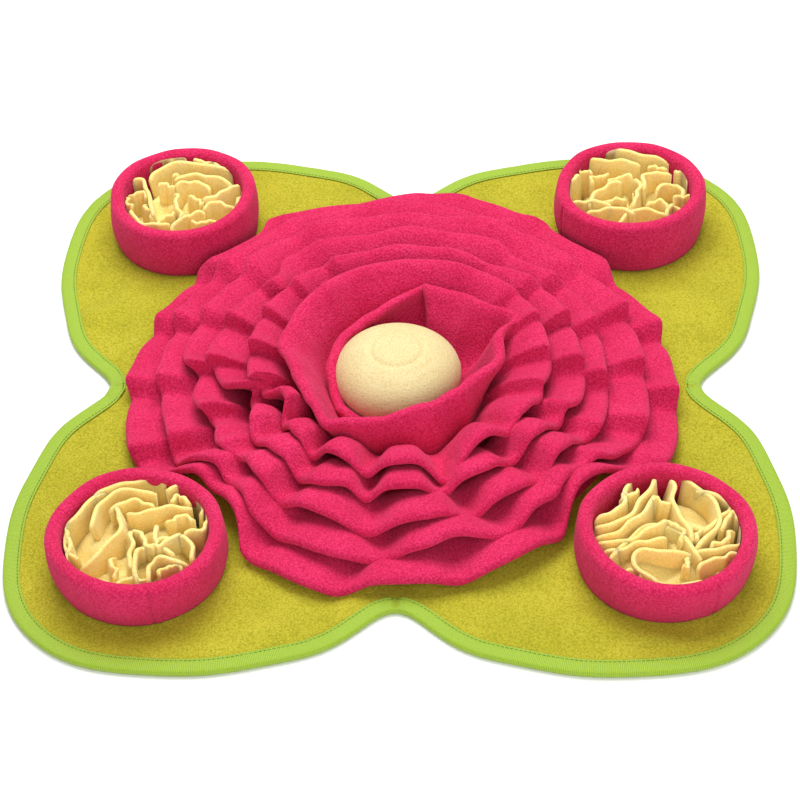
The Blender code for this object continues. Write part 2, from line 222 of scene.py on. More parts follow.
thicken(ground, GROUND_THICK)
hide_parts("base_mat")
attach(ground, "root")

# ---- 2. the binding -------------------------------------------------------------
# Bright lime ribbed tape about 26 mm wide, folded in half over the ground's edge and
# stitched through all layers 2 mm from its inner edge. It is creased at each notch,
# and its ends overlap at the left one.
# the tape's section in mm, inset from the outline and height: over the upper leg with
# the dip at the stitches, back under it to the fold, and along the lower leg
TAPE_SECTION = np.array((
    (0.0, 3.6), (0.35, 4.9), (1.2, 5.45), (3.0, 5.7), (5.5, 5.75), (8.0, 5.72), (9.8, 5.65),
    (10.6, 5.45), (11.0, 5.2), (11.4, 5.4), (12.2, 5.55), (12.9, 5.4), (13.0, 5.0),
    (12.8, 4.7), (6.0, 4.65), (1.1, 4.55), (1.0, 3.0), (1.3, 1.15), (6.0, 1.0), (12.8, 0.9),
    (13.0, 0.5), (12.7, 0.05), (6.0, 0.0), (1.0, 0.1), (0.2, 0.8)))
TAPE_RIB = 1.3                          # spacing of the crosswise ribs
NOTCHES = (0.0, 90.0, 180.0, 270.0)     # where the tape is creased, in degrees
CREASE_DEEP, CREASE_HALF = 1.8, 0.30    # mm, degrees
SHOULDER_RISE, SHOULDER_AWAY = 0.35, 1.1
LAP_FROM, LAP_TO, LAP_RISE = 176.2, 182.4, 0.75   # the tape's ends overlap here
STITCH_INSET, STITCH_PITCH, STITCH_LENGTH, STITCH_HALF = 11.0, 3.4, 2.7, 0.34
STITCH_HEIGHT = 5.42
TAPE_LIME = (0.330, 0.480, 0.022)
TAPE_DEEP = (0.190, 0.320, 0.012)
THREAD_GREEN = (0.120, 0.230, 0.008)


def ribbed_tape(name, deep, bright, ribs):
    """Woven tape: crosswise ribs along the first UV value as colour and bump."""
    mat = bpy.data.materials.new(name)
    mat.use_nodes = True
    tree = mat.node_tree
    add, link = tree.nodes.new, tree.links.new
    shader = tree.nodes["Principled BSDF"]
    shader.inputs["Roughness"].default_value = 0.62
    shader.inputs["Specular IOR Level"].default_value = 0.35
    shader.inputs["Sheen Weight"].default_value = 0.15
    uv = add("ShaderNodeUVMap")
    uv.uv_map = "cloth"
    along = add("ShaderNodeSeparateXYZ")
    link(uv.outputs["UV"], along.inputs["Vector"])
    turn = add("ShaderNodeMath")
    turn.operation = "MULTIPLY"
    turn.inputs[1].default_value = ribs * 2 * math.pi
    link(along.outputs["X"], turn.inputs[0])
    rib = add("ShaderNodeMath")
    rib.operation = "SINE"
    link(turn.outputs[0], rib.inputs[0])
    place = add("ShaderNodeTexCoord")
    grain = add("ShaderNodeTexNoise")
    grain.inputs["Scale"].default_value = 900.0
    grain.inputs["Detail"].default_value = 2.0
    link(place.outputs["Object"], grain.inputs["Vector"])
    mixed = add("ShaderNodeMath")
    mixed.operation = "MULTIPLY_ADD"
    mixed.inputs[1].default_value = 0.35
    link(rib.outputs[0], mixed.inputs[0])
    link(grain.outputs["Fac"], mixed.inputs[2])
    ramp = add("ShaderNodeValToRGB")
    ramp.color_ramp.elements[0].position = 0.15
    ramp.color_ramp.elements[0].color = (*deep, 1)
    ramp.color_ramp.elements[1].position = 0.75
    ramp.color_ramp.elements[1].color = (*bright, 1)
    link(mixed.outputs[0], ramp.inputs["Fac"])
    link(ramp.outputs["Color"], shader.inputs["Base Color"])
    bump = add("ShaderNodeBump")
    bump.inputs["Strength"].default_value = 0.5
    bump.inputs["Distance"].default_value = 0.0003
    link(mixed.outputs[0], bump.inputs["Height"])
    link(bump.outputs["Normal"], shader.inputs["Normal"])
    return mat


def lap_height(degrees):
    """Height in mm that the overlap adds: a sharp step up at one end, a soft one down."""
    return (LAP_RISE * np.clip((degrees - LAP_FROM) / 0.12, 0, 1)
            * np.clip((LAP_TO - degrees) / 0.9, 0, 1))


turn = np.linspace(0, 2 * math.pi, 1320, endpoint=False)
tape_in = np.repeat(TAPE_SECTION[:, :1], len(turn), axis=1)
tape_up = np.repeat(TAPE_SECTION[:, 1:], len(turn), axis=1)
degrees = np.degrees(turn)[None, :]
top = np.clip((tape_up - 3.8) / 1.0, 0, 1)
for notch in NOTCHES:
    away = (degrees - notch + 180) % 360 - 180
    crease = np.exp(-(away / CREASE_HALF) ** 2) * (tape_in > 1.2)
    shoulder = np.exp(-(np.abs(away) - SHOULDER_AWAY) ** 2 / 0.5)
    tape_up = tape_up + top * (SHOULDER_RISE * shoulder - CREASE_DEEP * crease)
tape_up = tape_up + top * lap_height(degrees)
tape_up = tape_up + top * 0.12 * np.sin(degrees * 1.9) * np.sin(degrees * 0.37)
tape_x, tape_y = leaf_edge(np.repeat(turn[None, :], len(TAPE_SECTION), axis=0), tape_in)
binding = sheet_mesh("edge_tape", np.stack([tape_x, tape_y, tape_up], axis=-1), around=True,
                     ring=True)
perimeter = float(np.sum(np.hypot(np.diff(tape_x[0]), np.diff(tape_y[0]))))
binding.data.materials.append(ribbed_tape("lime_tape", TAPE_DEEP, TAPE_LIME,
                                          perimeter / TAPE_RIB))
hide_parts("edge_binding")
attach(binding, "root")


def thread(name, colour):
    """Sewing thread: one colour, faintly twisted by a fine noise."""
    mat = bpy.data.materials.new(name)
    mat.use_nodes = True
    tree = mat.node_tree
    add, link = tree.nodes.new, tree.links.new
    shader = tree.nodes["Principled BSDF"]
    shader.inputs["Roughness"].default_value = 0.6
    place = add("ShaderNodeTexCoord")
    twist = add("ShaderNodeTexNoise")
    twist.inputs["Scale"].default_value = 2600.0
    link(place.outputs["Object"], twist.inputs["Vector"])
    ramp = add("ShaderNodeValToRGB")
    ramp.color_ramp.elements[0].position = 0.3
    ramp.color_ramp.elements[0].color = (*[c * 0.6 for c in colour], 1)
    ramp.color_ramp.elements[1].position = 0.7
    ramp.color_ramp.elements[1].color = (*colour, 1)
    link(twist.outputs["Fac"], ramp.inputs["Fac"])
    link(ramp.outputs["Color"], shader.inputs["Base Color"])
    return mat


def rod_faces(count, rings, sides, flip=False):
    """Faces of closed rods, each of some rings of points: quads between the rings and
    one face at each end. `flip` turns them over."""
    s, i, j = np.meshgrid(np.arange(count), np.arange(rings - 1), np.arange(sides), indexing="ij")
    base, k = (s * rings + i) * sides, (j + 1) % sides
    quads = np.stack([base + j, base + k, base + sides + k, base + sides + j],
                     axis=-1).reshape(-1, 4)
    start = np.arange(count)[:, None] * rings * sides
    first = start + np.arange(sides)[::-1]
    last = start + (rings - 1) * sides + np.arange(sides)
    if flip:
        quads, first, last = quads[:, [0, 3, 2, 1]], first[:, ::-1], last[:, ::-1]
    return quads.tolist() + first.tolist() + last.tolist()


def stitch_row(name, centre, along, up, length, half):
    """Row of stitches in one mesh: each a short rod of 6 sides whose ends are drawn in
    and dip, at `centre` points (mm), along unit vectors `along`, with `up` above."""
    side = np.cross(up, along)
    t = np.array([-1.0, -0.8, -0.3, 0.3, 0.8, 1.0])
    size = half * np.array([0.25, 0.85, 1.0, 1.0, 0.85, 0.25])
    dip = -half * 1.6 * t ** 4
    a = np.linspace(0, 2 * math.pi, 6, endpoint=False)
    high = dip[:, None] + size[:, None] * np.sin(a)[None, :]
    wide = size[:, None] * np.cos(a)[None, :]
    place = (centre[:, None, None, :]
             + along[:, None, None, :] * (t * length / 2)[None, :, None, None]
             + up[:, None, None, :] * high[None, ..., None]
             + side[:, None, None, :] * wide[None, ..., None])
    return cloth_object(name, place, rod_faces(*place.shape[:3]))


fine = np.linspace(0, 2 * math.pi, 20001)
sew_x, sew_y = leaf_edge(fine, STITCH_INSET)
run = np.concatenate([[0], np.cumsum(np.hypot(np.diff(sew_x), np.diff(sew_y)))])
count = int(run[-1] / STITCH_PITCH)
at = np.interp((np.arange(count) + 0.5) * run[-1] / count, run, fine)
sew_x, sew_y = leaf_edge(at, STITCH_INSET)
ahead_x, ahead_y = leaf_edge(at + 1e-4, STITCH_INSET)
along = np.stack([ahead_x - sew_x, ahead_y - sew_y, np.zeros(count)], axis=-1)
along /= np.linalg.norm(along, axis=1, keepdims=True)
sew_z = STITCH_HEIGHT + lap_height(np.degrees(at))
stitches = stitch_row("edge_stitches", np.stack([sew_x, sew_y, sew_z], axis=-1), along,
                      np.tile([0.0, 0.0, 1.0], (count, 1)), STITCH_LENGTH, STITCH_HALF)
stitches.data.materials.append(thread("green_thread", THREAD_GREEN))
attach(stitches, "root")

# ---- 3. the rose ----------------------------------------------------------------
# One long strip of hot pink fleece, folded lengthwise and sewn to the ground by its
# raw edges in a clockwise spiral. The fold stands up as a thick round rim; each turn
# leans out over the next and is crowded into gathers.
ROSE_MIDDLE = (4.0, -6.0)
ROSE_TURNS = 2276.0 / 360.0
ROSE_FOOT = 3.2
TIER_STEP = 11.0
STRIP_CELL = 2.05                       # spacing of the mesh along the strip
CELLS_A_TURN = 720                      # the stance is worked out each half degree
# half thickness of the folded strip at shares of its way from root to rim
HALF_SHARES = (0, 0.12, 0.5, 0.78, 0.93, 1.0)
STRIP_HALVES = (5.0, 3.6, 3.0, 3.3, 4.3, 4.7)
RIM_HALF = 4.7
ROOT_SPREAD = 6.0                       # further spread of the two layers where they are sewn
GATHER_DEEP, GATHER_HOOK, GATHER_SWING, SWAG_DEEP = 12.0, 8.0, 4.0, 0.8
GATHER_SKEW, FRONT_GATHER, REAR_UNBEND = 0.8, 0.3, 0.65
POCKET_LEAST, POCKET_SHARE = 4.0, 0.32  # depth of a pocket: mm, and share of the rim's height
RIM_CLEAR, RIM_OVERHANG = 8.4, 5.0      # how far a rim stands over, and inside, the next one
# the 17 radial lines that the gathers' ridges keep to: degrees from the left side
RIDGE_LINES = (3, 23, 43, 64, 88, 112, 137, 160, 182, 203, 221, 243, 269, 293, 311, 327, 343)
# the cups' middles and outer radii, and the gap that the rose keeps from them
CUP_RINGS = ((-196.0, 201.0, 63.0), (191.0, 205.0, 63.5), (-193.0, -191.0, 66.0),
             (199.0, -187.0, 66.0))
CUP_GAP = 6.5
# rim before its folds: degrees turned from the left side, clockwise, and radius
RIM = np.array((
    (-150, 62), (-75, 69), (-34, 65), (-18, 62), (60, 50), (110, 78), (160, 85), (220, 65),
    (260, 72), (300, 101), (360, 95), (450, 101), (540, 113), (630, 133), (720, 126),
    (810, 130), (900, 138), (990, 152), (1080, 151), (1170, 163), (1260, 158), (1350, 179),
    (1440, 176), (1530, 197), (1620, 190), (1710, 200), (1800, 203), (1890, 223),
    (1980, 216), (2070, 223), (2160, 229), (2230, 240), (2276, 241)), float)
# folds: degrees turned at the peak, swing outward, degrees to rise and to fall
FOLDS = np.array((
    (107, 5, 9, 9), (158, 8, 14, 11), (305, 8, 8, 12), (359, 7, 12, 17), (616, 10, 17, 10),
    (644, 6, 17, 12), (691, -21, 24, 7), (702, 3, 8, 24), (839, -7, 17, 24),
    (921, 9, 24, 8), (956, -7, 8, 8), (1016, 11, 12, 12), (1059, -28, 19, 8),
    (1082, 11, 17, 24), (1121, -10, 12, 6), (1131, 7, 7, 24), (1208, -8, 12, 24),
    (1287, 10, 24, 7), (1358, 8, 12, 24), (1397, -11, 10, 7), (1414, -13, 8, 12),
    (1434, -7, 8, 7), (1445, 7, 7, 24), (1497, 7, 24, 24), (1527, -5, 8, 24),
    (1575, -5, 17, 24), (1641, 11, 24, 15), (1680, -11, 24, 20), (1684, 6, 8, 8),
    (1698, -9, 8, 8), (1724, 12, 17, 24), (1756, -5, 8, 12), (1771, 6, 8, 12),
    (1867, 6, 24, 24), (1909, -14, 12, 7), (1919, 9, 7, 12), (1948, -8, 17, 24),
    (2003, 12, 24, 17), (2035, -11, 17, 24), (2084, 14, 8, 24), (2112, -14, 8, 17),
    (2138, 8, 12, 24), (2185, -7, 24, 24), (2217, 7, 8, 7), (2260, 9, 8, 8),
    (2274, -8, 8, 24)), float)
# stance: turns, rim height, root radius, bend of the section toward the rim
STANCE = np.array((
    (-0.42, 20, 65, 0.0), (-0.21, 26, 67, 0.0), (-0.09, 30, 65, 0.0), (-0.05, 36, 63, 0.0),
    (0.0, 44, 62, 0.0), (0.15, 49, 57, 0.0), (0.25, 51, 56, 0.0), (0.4, 57, 53, 0.0),
    (0.47, 60, 50, 0.0), (0.55, 60, 51, 0.0), (0.62, 61, 62, 0.0), (0.7, 61, 78, 0.0),
    (0.8, 61, 81, 0.1), (0.85, 61, 76, 0.2), (0.9, 61, 70, 0.3), (1.0, 61, 70, 0.5),
    (1.25, 59, 68, 0.5), (1.45, 57, 62, 0.4), (1.55, 57, 65, 0.4), (1.62, 56, 77, 0.4),
    (1.7, 55, 90, 0.4), (1.8, 53, 95, 0.5), (1.9, 52, 94, 0.5), (2.0, 52, 87, 0.5),
    (2.3, 50, 92, 0.5), (2.6, 48, 101, 0.5), (2.8, 46, 107, 0.5), (3.3, 42, 116, 0.5),
    (4.5, 32, 142, 0.5), (5.3, 22, 160, 0.5), (6.0, 15, 174, 0.5), (6.4, 14, 182, 0.5)), float)
# single creases in the first turns: degrees turned, height, half width in degrees
CREASES = np.array((
    (99, -4.0, 6), (108, 6.0, 4), (120, 3.0, 9), (140, 3.0, 9), (161, -5.0, 6),
    (177, 5.0, 9), (200, -3.0, 12),
    (300, -3.0, 10), (330, 2.5, 12), (372, -4.0, 12), (404, 3.0, 14), (436, -4.5, 11),
    (470, 2.5, 14), (500, -3.0, 10), (528, 4.0, 10), (556, -4.0, 9), (597, 4.0, 10),
    (614, -7.0, 5), (640, 3.0, 10), (668, -5.0, 7)), float)
# how far the first turn's wall bellies outward at half height: degrees turned, mm
BELLIES = np.array((
    (20, 0), (60, 7), (102, 10), (109, -7), (135, -8), (154, -3), (161, 5), (169, -3),
    (190, 0), (235, 9), (295, 9), (335, 0)), float)
ROSE_PINK = (0.640, 0.018, 0.100)
ROSE_SHADE = (0.500, 0.009, 0.062)
ROSE_LIGHT = (0.780, 0.050, 0.170)


def cup_reach(angle):
    """Reach of a ray from the rose's middle at each angle before it meets a circle a
    gap outside a cup: the near root of the ray and circle."""
    dx, dy = np.cos(angle), np.sin(angle)
    reach = np.full_like(angle, 400.0)
    for cx, cy, radius in CUP_RINGS:
        px, py = cx - ROSE_MIDDLE[0], cy - ROSE_MIDDLE[1]
        along = px * dx + py * dy
        across = px * px + py * py - along * along
        clear = (radius + CUP_GAP) ** 2
        hit = (along > 0) & (across < clear)
        near = along - np.sqrt(np.maximum(clear - across, 0))
        reach = np.where(hit, np.minimum(reach, near), reach)
    return reach


def fold_sum(turned, folds):
    """Sum over folds of the swing times s*s*(3-2s), where s falls from 1 at the peak
    to 0 over the rise before it and the fall after it."""
    away = turned[None, :] - folds[:, :1]
    s = np.clip(1 - np.where(away < 0, -away / folds[:, 2:3], away / folds[:, 3:4]), 0, 1)
    return np.sum(folds[:, 1:2] * s * s * (3 - 2 * s), axis=0)


def soften(values, cells):
    """Running mean weighted by a bell, with the ends held."""
    k = np.arange(-3 * cells, 3 * cells + 1)
    bell = np.exp(-(k / cells) ** 2)
    padded = np.concatenate([np.full(3 * cells, values[0]), values,
                             np.full(3 * cells, values[-1])])
    return np.convolve(padded, bell / bell.sum(), mode="valid")


def outward_share(away, bend):
    """Share along the bent section at which it has gone the part `away` outward: the
    root of the square equation that the bend makes."""
    line = 1 - 2 * bend
    reach = np.sqrt(line * line + 8 * bend * np.maximum(away, 0))
    return np.where(bend < 0.01, away, (reach - line) / np.maximum(4 * bend, 1e-6))


def gathers(turned):
    """Height of the gathers (-1 to 1), their lean along the strip, their swing outward
    and the depth of the pockets (0 to 1) at each angle turned. The phase goes up by a
    whole turn from one ridge line to the next, and wanders. It is skewed by a part of
    its own sine, so that at the left and right each gather is steep on its lower side.
    The height is the arcsine of nearly the whole sine, flat faces with crisp ridges. In
    front the gathers are low, and pockets lie in their hollows: the third power of the
    distance below a ridge."""
    t = np.radians(turned)
    lines = np.concatenate([np.array(RIDGE_LINES) + 360 * k for k in range(-1, 8)])
    phase = 2 * math.pi * np.interp(turned, lines, np.arange(len(lines)))
    phase = soften(phase, 8) + math.pi / 2
    phase = phase + 0.5 * np.sin(1.37 * t + 0.5) + 0.4 * np.sin(3.3 * t)
    phase = phase + 2.4 * np.exp(-((turned - 1690) / 110) ** 2)
    side = np.cos(t)
    skewed = phase + GATHER_SKEW * side * np.sin(phase)
    crisp = np.arcsin(0.97 * np.sin(skewed)) / math.asin(0.97)
    front = np.maximum(0, -np.sin(math.pi - t)) ** 1.5
    uneven = 0.78 + 0.22 * np.sin(5.3 * t + 1.0) * np.sin(1.31 * t)
    place = 0.70 + 0.30 * np.cos(2 * t)
    onset = np.interp(turned, [0, 360, 520, 640], [0.04, 0.10, 0.6, 1.0])
    outside = 1 - 0.6 * np.exp(-((turned - 2080) / 55) ** 2)
    strength = uneven * place * onset * outside
    stand = (crisp * (1 - front) + FRONT_GATHER * np.sin(phase) * front) * strength
    pocket = ((1 - np.sin(phase)) / 2) ** 3 * front ** 0.7 * uneven * onset
    away = (turned[None, :] - CREASES[:, :1]) / CREASES[:, 2:]
    crease = np.sum(CREASES[:, 1:2] * np.exp(-away * away), axis=0)
    tuck = 1.1 * np.exp(-((turned - 106) / 6) ** 2)
    return stand + crease / GATHER_DEEP, side * stand + tuck, side * side * stand, pocket


def rose_stance(turned):
    """Rim radius, rim height, root radius and bend at `turned` degrees, half a degree
    apart. The folds swing the rim; an inward swing rides up and an outward one sinks;
    the tiers bend less at the rear; a cup holds them back. Then, from the outer turn
    inward, each rim is kept inside the next rim and above the next turn's bent wall."""
    turns = turned / 360
    height, _, swung, _ = gathers(turned)
    swing = fold_sum(turned, FOLDS) + GATHER_SWING * swung
    r = soften(np.interp(turned, RIM[:, 0], RIM[:, 1]), 10) + swing
    z, root, bend = (soften(np.interp(turns, STANCE[:, 0], STANCE[:, k]), 10) for k in (1, 2, 3))
    plan = math.pi - np.radians(turned)
    side = np.sin(plan)
    bend = bend * (1 - REAR_UNBEND * (0.5 + 0.5 * side) ** 1.5)
    lift = np.clip(-swing * (0.6 - 0.9 * np.maximum(side, 0) ** 2) * 2 * bend, -4, 4)
    r = r - 1.05 * side * lift
    outer = np.maximum(0, np.floor(ROSE_TURNS - turns))
    stand = GATHER_DEEP * height
    over = np.maximum(0, r - (cup_reach(plan) - TIER_STEP * outer))
    r, z = r - over, z + lift + 0.75 * over
    for turn_number in range(6, -1, -1):
        here = np.arange(turn_number * CELLS_A_TURN, (turn_number + 1) * CELLS_A_TURN)
        here = here[here < len(turned) - CELLS_A_TURN]
        there = here + CELLS_A_TURN
        r[here] = np.minimum(r[here], r[there] - RIM_OVERHANG)
        away = (r[here] - root[there]) / np.maximum(r[there] - root[there], 6.0)
        share = outward_share(away, bend[there])
        shelf = ROSE_FOOT + (z[there] - ROSE_FOOT) * (share + 2 * bend[there] * share * (1 - share))
        shelf = shelf + 0.75 * (stand[there] * share ** 1.15 - stand[here])
        z[here] = np.where(away > 0, np.maximum(z[here], shelf + RIM_CLEAR), z[here])
    return soften(r, 2), soften(z, 3), root, bend


# columns of equal length along the strip, from its hidden inner end to the outer one
turned = np.arange(-150.0, 360 * ROSE_TURNS + 0.01, 360 / CELLS_A_TURN)
rim_r, rim_z, root_r, bend = rose_stance(turned)
plan = math.pi - np.radians(turned)
mid_r = 0.3 * root_r + 0.7 * rim_r
step = np.hypot(np.diff(mid_r * np.cos(plan)), np.diff(mid_r * np.sin(plan)))
run = np.concatenate([[0], np.cumsum(step)])
columns = int(run[-1] / STRIP_CELL)
at = np.interp(np.linspace(0, run[-1], columns), run, turned)
rim_r, rim_z, root_r, bend = (np.interp(at, turned, v) for v in (rim_r, rim_z, root_r, bend))
stand, lean, swung, pocket = gathers(at)
swag = np.sin(np.radians(at) * 11 + 0.8 * np.sin(np.radians(at) * 3)) * SWAG_DEEP

# the folded section: root to rim up the inner layer, round the fold, and down again
out_way, up_way = rim_r - root_r, rim_z - ROSE_FOOT
height = np.hypot(out_way, up_way)
layer_share = np.array([0.0, 0.07, 0.17, 0.30, 0.43, 0.56, 0.68, 0.78, 0.86, 0.93])
fold_turn = np.radians([-70, -46, -23, 0, 23, 46, 70])
cap = 1 - RIM_HALF / height
share = np.concatenate([layer_share[:, None] * cap[None, :],
                        np.repeat(cap[None, :], len(fold_turn), axis=0),
                        layer_share[::-1, None] * cap[None, :]])
half = np.interp(share / cap[None, :], HALF_SHARES, STRIP_HALVES)
half = half + ROOT_SPREAD * np.clip(1 - share / 0.35, 0, 1)
layer = np.ones(len(layer_share))
flag = np.concatenate([-layer, np.sin(fold_turn), layer])[:, None]
rise = np.concatenate([0 * layer, np.cos(fold_turn), 0 * layer])[:, None]

# the middle of the fold leans out along a bent line; the layers lie square to it on
# either side, and the gathers, pockets and swags move both
swing = 2 * bend[None, :] * share * (1 - share)
slope = 2 * bend[None, :] * (1 - 2 * share)
belly = np.interp(at, BELLIES[:, 0], BELLIES[:, 1])
r = root_r[None, :] + out_way[None, :] * (share - swing) + belly * np.sin(math.pi * share)
z = ROSE_FOOT + up_way[None, :] * (share + swing)
tr, tz = out_way[None, :] * (1 - slope), up_way[None, :] * (1 + slope)
size = np.hypot(tr, tz)
tr, tz = tr / size, tz / size
fade = share ** 1.15
lifted = (GATHER_DEEP * stand[None, :] * fade
          - (POCKET_LEAST + POCKET_SHARE * up_way) * pocket
          * (4.1 * share ** 2 * (1 - share) ** 0.6 + 0.15 * share)
          + (swag * np.interp(at, [0, 500, 900], [1.0, 1.0, 0.3]))[None, :] * fade)
r = r + tz * (flag * half - lifted) + tr * rise * RIM_HALF
z = z - tr * (flag * half - lifted) + tz * rise * RIM_HALF
z = np.maximum(z, ROSE_FOOT - 0.1)
bearing = (math.pi - np.radians(at))[None, :] + GATHER_HOOK * lean[None, :] * fade / r
x = ROSE_MIDDLE[0] + r * np.cos(bearing)
y = ROSE_MIDDLE[1] + r * np.sin(bearing)
rose = sheet_mesh("petal_strip", np.stack([x, y, z], axis=-1), ends=True)
pink = fleece("pink_fleece", ROSE_SHADE, ROSE_PINK, ROSE_LIGHT, glow=0.3)
rose.data.materials.append(pink)
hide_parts("petal_turn_1", "petal_turn_2", "petal_turn_3", "petal_turn_4",
            "petal_turn_5", "petal_turn_6", "petal_turn_7")
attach(rose, "root")

# ---- 4. the ball ----------------------------------------------------------------
# A bun of cream fleece stuffed with fibre, sewn down in the middle of the rose. A
# plain ring is quilted into its top with thread of the same colour.
BALL_MIDDLE = (-4.0, -13.5)
BALL_HALF, BALL_FOOT, BALL_TOP = 51.0, 3.4, 61.0
BALL_VOXEL, PUFF_CAP = 4.2, 1.6         # even mesh for the simulation, and its furthest move
QUILT_RING, QUILT_HALF, QUILT_DIP = 21.0, 2.2, 1.5
BALL_CREAM = (0.690, 0.580, 0.300)
BALL_SHADE = (0.600, 0.480, 0.215)
BALL_LIGHT = (0.760, 0.670, 0.400)


def vertex_places(mesh):
    """The vertices of a mesh as rows of x, y, z in metres."""
    places = np.empty(len(mesh.vertices) * 3)
    mesh.vertices.foreach_get("co", places)
    return places.reshape(-1, 3)


def with_modifiers(obj):
    """A new mesh of the object as its modifiers leave it."""
    depsgraph = bpy.context.evaluated_depsgraph_get()
    return bpy.data.meshes.new_from_object(obj.evaluated_get(depsgraph))


def bun(name, rings, spokes):
    """Closed bun in mm: a slightly three-sided circle times the sine of the polar angle
    to the power 0.85, the height following the cosine, and the foot cut flat."""
    a = np.linspace(0.03, math.pi - 0.03, rings)[:, None]
    b = np.linspace(0, 2 * math.pi, spokes, endpoint=False)[None, :]
    wide = BALL_HALF * np.sin(a) ** 0.85 * (1 + 0.012 * np.sin(3 * b + 0.6))
    mid = (BALL_TOP + BALL_FOOT - 3) / 2
    tall = mid + (BALL_TOP - mid) * np.cos(a) * np.ones_like(b)
    pts = np.stack([BALL_MIDDLE[0] + wide * np.cos(b), BALL_MIDDLE[1] + wide * np.sin(b),
                    np.maximum(tall, BALL_FOOT)], axis=-1)
    return sheet_mesh(name, pts[::-1], around=True, cap=True, lid=True)


# the cover is blown out a little by its filling: even mesh, cloth with pressure, capped
ball = bun("stuffed_ball", 40, 64)
remesh = ball.modifiers.new("even", "REMESH")
remesh.mode = "VOXEL"
remesh.voxel_size = BALL_VOXEL * MM
even = with_modifiers(ball)
ball.modifiers.clear()
ball.data = even
start = vertex_places(even)
puff = ball.modifiers.new("puff", "CLOTH")
puff.settings.use_pressure = True
puff.settings.uniform_pressure_force = 4.0
puff.settings.effector_weights.gravity = 0.0
for frame_number in range(1, 21):
    bpy.context.scene.frame_set(frame_number)
move = vertex_places(with_modifiers(ball)) - start
far = np.linalg.norm(move, axis=1, keepdims=True)
place = start + move * np.minimum(1.0, PUFF_CAP * MM / np.maximum(far, 1e-9))
place[:, 2] = np.maximum(place[:, 2], BALL_FOOT * MM)
ball.modifiers.clear()
bpy.context.scene.frame_set(1)
ball.data.vertices.foreach_set("co", place.reshape(-1))
ball.data.update()
smooth = ball.modifiers.new("smooth", "SUBSURF")
smooth.levels = smooth.render_levels = 2
cover = with_modifiers(ball)
ball.modifiers.clear()
ball.data = cover

# the quilted ring is a soft groove in the upper half, then the foot is flat again
place = vertex_places(cover)
away = np.hypot(place[:, 0] - BALL_MIDDLE[0] * MM, place[:, 1] - BALL_MIDDLE[1] * MM)
groove = np.exp(-((away - QUILT_RING * MM) / (QUILT_HALF * MM)) ** 2) * (place[:, 2] > 0.035)
place[:, 2] = np.maximum(place[:, 2] - QUILT_DIP * MM * groove, BALL_FOOT * MM)
cover.vertices.foreach_set("co", place.reshape(-1))
cover.shade_smooth()
cover.update()
cream = fleece("cream_fleece", BALL_SHADE, BALL_CREAM, BALL_LIGHT, pill=760.0, relief=0.00035)
ball.data.materials.append(cream)
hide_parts("centre_ball")
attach(ball, "root")

# ---- 5. the cups ----------------------------------------------------------------
# Four rings of the rose's pink fleece, each a band folded lengthwise with its fold up
# and joined in one seam, sewn to the ground on a leaf. They stand a little unevenly
# and the two near ones lean out.
# name, middle x, y, outer radius, height, lean x, y at the rim, seam degrees
CUPS = (
    ("rear_left", -196.0, 201.0, 63.0, 48.0, -1.0, 3.0, 312.0),
    ("rear_right", 191.0, 205.0, 63.5, 50.0, 0.0, 2.0, 205.0),
    ("front_left", -193.0, -191.0, 66.0, 47.0, 0.0, -5.0, 285.0),
    ("front_right", 199.0, -187.0, 66.0, 46.0, 1.0, -5.0, 300.0),
)
CUP_FOOT, CUP_WALL, CUP_LAYER = 3.3, 11.5, 2.8
SEAM_DIP, SEAM_HALF = 1.5, 1.1          # mm, degrees


def cup_ring(name, cx, cy, radius, height, lean_x, lean_y, seam, index):
    """Band folded over: up the inside, round the rim and down the outside. Slow waves
    round the ring vary its radius, height and belly; it is drawn in at the foot and at
    the seam."""
    a = np.linspace(0, 2 * math.pi, 216, endpoint=False)[None, :]
    middle = CUP_WALL / 2 - CUP_LAYER / 2
    up = np.concatenate([np.linspace(0, 1, 11), np.ones(7), np.linspace(1, 0, 13)])[:, None]
    round_over = np.radians([-72, -48, -24, 0, 24, 48, 72])
    flag = np.concatenate([-np.ones(11), np.sin(round_over), np.ones(13)])[:, None]
    crown = np.concatenate([np.zeros(11), np.cos(round_over), np.zeros(13)])[:, None]
    sag = 0.012 * np.sin(2 * a + index) + 0.008 * np.sin(3 * a + 2 * index)
    tall = 1.0 + 0.025 * np.sin(a + 1.7 * index) + 0.02 * np.sin(3 * a + index)
    small = 0.5 * np.sin(5 * a + 2.1 * index) + 0.2 * np.sin(11 * a + index)
    belly = np.sin(math.pi * np.clip(up, 0, 1)) * np.where(flag > 0, 1.3, -0.3)
    belly = belly * (1 + 0.7 * np.sin(4 * a + 1.3 * index) * np.sin(2.3 * a + index))
    tuck = -1.6 * (1 - up) ** 3 * np.where(flag > 0, 1.0, -0.4)
    r = radius - CUP_WALL / 2 + flag * middle + belly + tuck + small * 0.6 * up
    r = r + radius * sag * up
    body = height - CUP_FOOT - middle - CUP_LAYER
    z = CUP_FOOT + CUP_LAYER / 2 + body * tall * up + crown * middle + 0.5 * small * up
    off = (np.degrees(a) - seam + 180) % 360 - 180
    pinch = np.exp(-(off / SEAM_HALF) ** 2) * np.where(flag > 0, 1.0, 0.5)
    r = r - SEAM_DIP * pinch
    z = z - 0.9 * pinch * crown
    r = r + 0.7 * np.exp(-((np.abs(off) - 2.6) / 1.6) ** 2) * (flag > 0)
    x = cx + lean_x * up + r * np.cos(a)
    y = cy + lean_y * up + r * np.sin(a)
    return sheet_mesh(name, np.stack([x, y, z], axis=-1), around=True)


